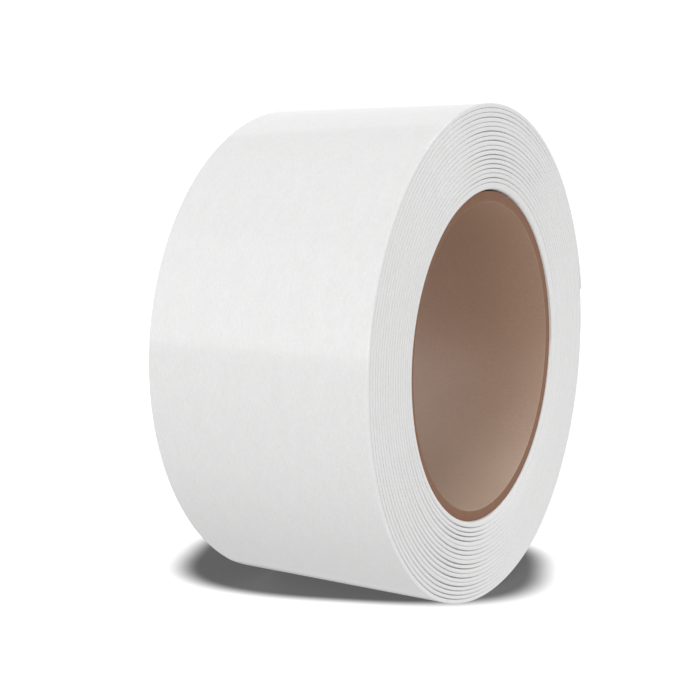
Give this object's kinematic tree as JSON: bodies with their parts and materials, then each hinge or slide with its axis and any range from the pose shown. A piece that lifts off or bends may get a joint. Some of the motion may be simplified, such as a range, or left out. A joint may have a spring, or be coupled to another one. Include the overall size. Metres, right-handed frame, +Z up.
{
  "type": "roll of reinforcing tape",
  "caption": "White nonwoven polyester reinforcing tape wound flat on a brown paperboard core, standing on its rim, with a loose end that lifts off the back of the roll.",
  "frame": {"origin": "on the ground under the middle of the roll, at the centre of the bounding box's bottom", "axes": "+Z up; +Y along the roll's axis, away from the face that the picture shows; +X towards the back, where the tape's free end lies"},
  "size_m": [0.1212, 0.058, 0.1213],
  "materials": {
    "tape": "matt white calendered nonwoven polyester fleece",
    "core_liner": "smooth brown kraft liner, slightly burnished",
    "core_board": "cut edge of brown paperboard"
  },
  "bodies": {
    "roll": {"core_inner_ply": "core_liner", "core_middle_ply": "core_board", "core_outer_ply": "core_board", "tape_winding": "tape"},
    "tape_end": {"tape_end": "tape"}
  },
  "joints": [
    {"name": "tape_end_lift", "type": "hinge", "parent": "roll", "child": "tape_end", "pos_m": [0.04984, 0, 0.09637], "axis": [0, -1, 0], "range_deg": [0, 75]}
  ]
}
